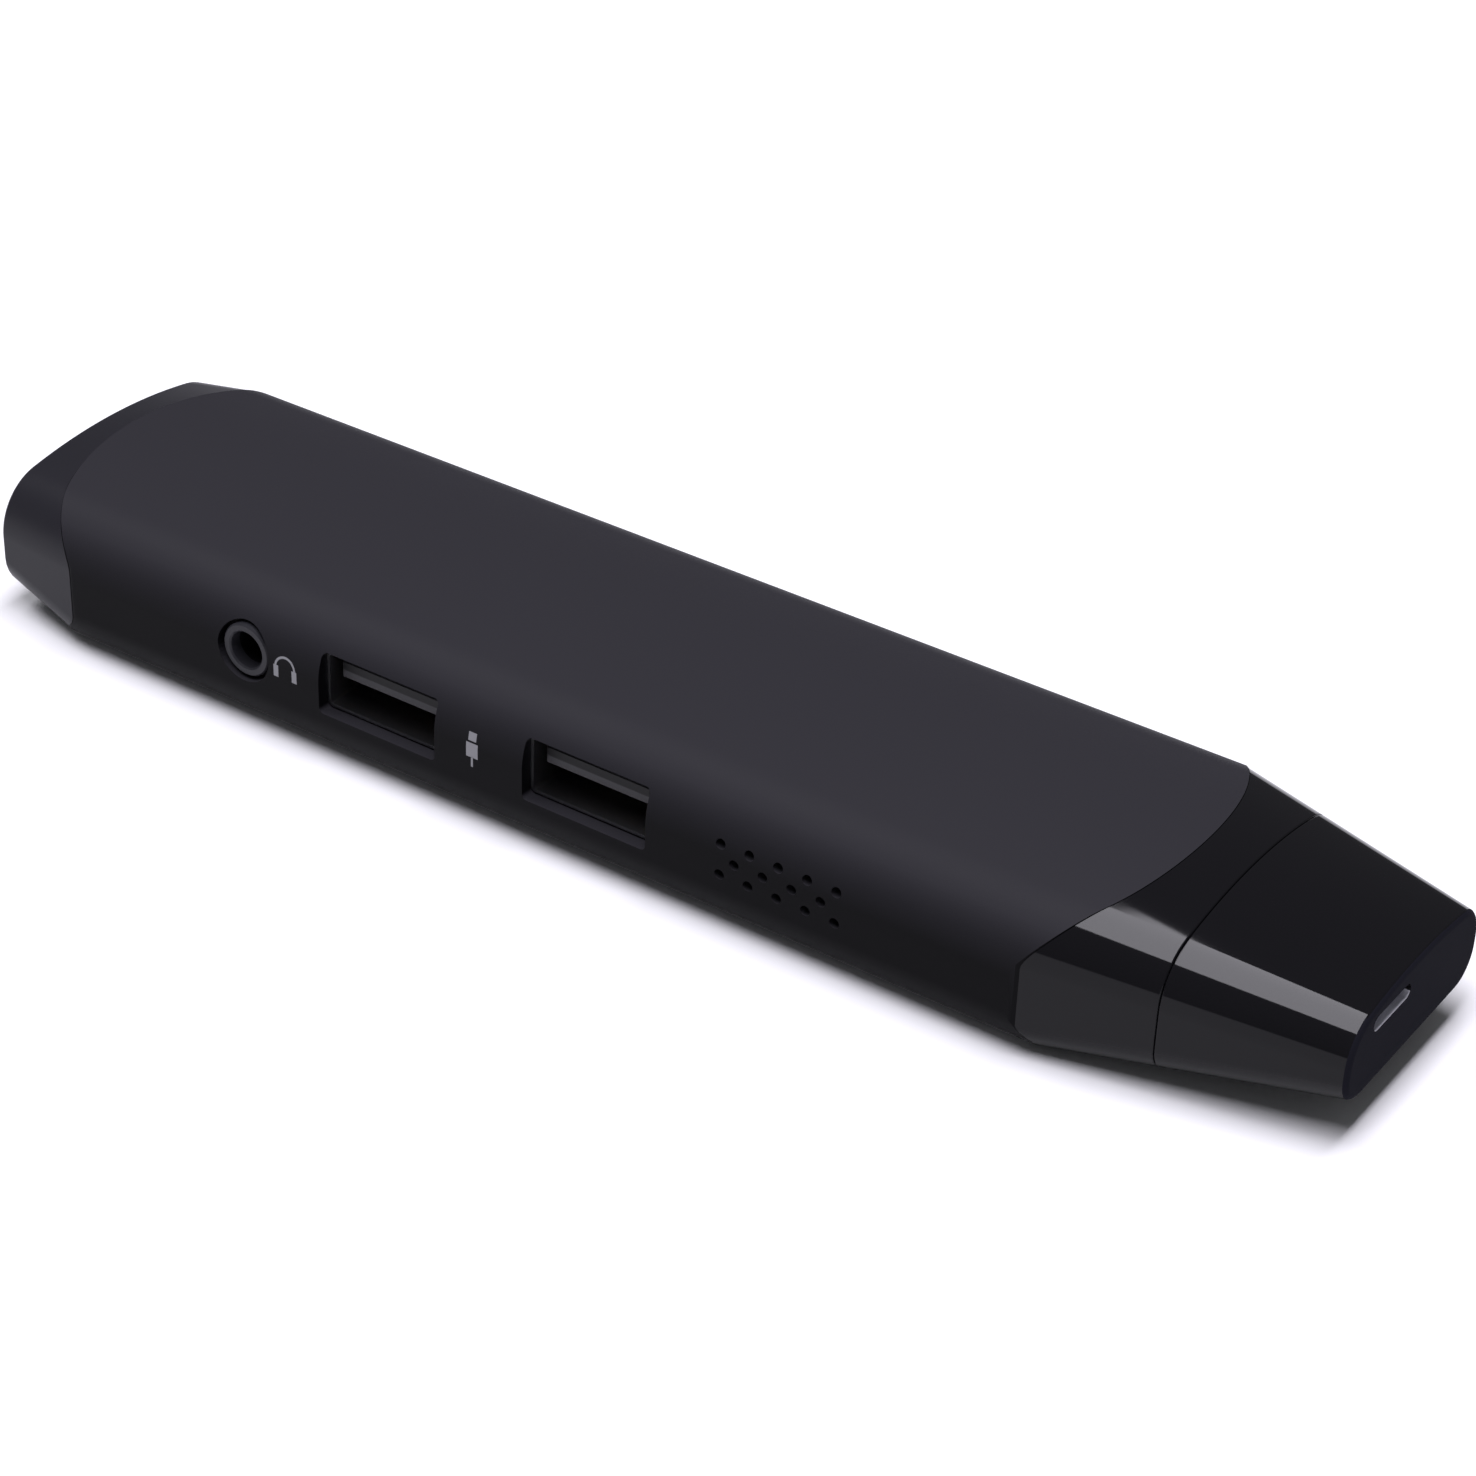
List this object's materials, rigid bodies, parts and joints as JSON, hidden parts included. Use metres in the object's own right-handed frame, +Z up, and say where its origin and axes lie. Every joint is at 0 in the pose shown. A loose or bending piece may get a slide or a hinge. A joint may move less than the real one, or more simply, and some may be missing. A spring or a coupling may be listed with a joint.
{
  "type": "hdmi stick computer",
  "caption": "Slim stick computer with a pull-off cap over its display plug, side sockets for peripherals and headphones, power inlet and button, and an inner blower.",
  "frame": {"origin": "centre of the flat underside, under the middle of the whole length and width", "axes": "+X towards the display plug and its cap, -Y out of the side with the two large sockets, +Z up out of the crowned top"},
  "size_m": [0.1378, 0.034, 0.0149],
  "materials": {
    "sleeve": "soft matte",
    "gloss_black": "polished",
    "satin_dark": "satin",
    "base_plastic": "fine texture",
    "socket_metal": "plated",
    "contact_gold": "plated",
    "tongue_plastic": "satin",
    "jack_plastic": "satin",
    "ring_plastic": "satin",
    "board": "solder mask",
    "chip_plastic": "matte",
    "shield_metal": "plated",
    "die": "polished",
    "pad": "soft",
    "heat_metal": "satin",
    "ferrite": "matte",
    "ceramic": "satin",
    "cell_metal": "satin",
    "fan_plastic": "satin",
    "motor_metal": "satin",
    "light_plastic": "clear",
    "led": "clear",
    "lead_skin": "satin",
    "plug_white": "satin",
    "aerial_foil": "plated",
    "screw_steel": "blackened",
    "button_plastic": "polished"
  },
  "bodies": {
    "casing": {"upper_shell": "sleeve", "bottom_cover": "base_plastic", "front_collar": "gloss_black", "rear_end_cap": "satin_dark", "main_board": "board", "audio_jack_body": "jack_plastic", "audio_jack_contacts": "contact_gold", "audio_jack_ring": "ring_plastic", "micro_usb_shell": "socket_metal", "micro_usb_tongue": "tongue_plastic", "power_switch": "shield_metal", "light_pipe": "light_plastic", "status_led": "led", "plug_shell": "socket_metal", "plug_insulator": "tongue_plastic", "plug_contacts": "contact_gold", "processor": "board", "processor_die": "die", "thermal_pad": "pad", "heat_spreader": "heat_metal", "memory_chips": "chip_plastic", "storage_chip": "chip_plastic", "wireless_module": "shield_metal", "crystal": "shield_metal", "power_chip": "chip_plastic", "inductors": "ferrite", "capacitors": "ceramic", "clock_battery": "cell_metal", "battery_tabs": "cell_metal", "fan_housing": "fan_plastic", "fan_cover": "heat_metal", "fan_motor": "motor_metal", "fan_plug": "plug_white", "fan_lead": "lead_skin", "aerials": "aerial_foil", "aerial_leads": "lead_skin", "board_screws": "screw_steel", "fan_screws": "screw_steel", "cover_screws": "screw_steel", "usb_shell_1": "socket_metal", "usb_tongue_1": "tongue_plastic", "usb_contacts_1": "contact_gold", "usb_shell_2": "socket_metal", "usb_tongue_2": "tongue_plastic", "usb_contacts_2": "contact_gold"},
    "cap": {"connector_cap": "gloss_black"},
    "button": {"power_button": "button_plastic", "switch_plunger": "tongue_plastic"},
    "rotor": {"fan_rotor": "fan_plastic"}
  },
  "joints": [
    {"name": "cap_pull", "type": "slide", "parent": "casing", "child": "cap", "axis": [1, 0, 0], "range_m": [0, 0.025]},
    {"name": "power_button_press", "type": "slide", "parent": "casing", "child": "button", "axis": [0, -1, 0], "range_m": [0, 0.00035], "stiffness_N_per_m": 800, "springref_m": -0.0015},
    {"name": "fan_spin", "type": "hinge", "parent": "casing", "child": "rotor", "pos_m": [0.0205, -0.0019, 0.006], "axis": [0, 0, 1], "continuous": true}
  ]
}
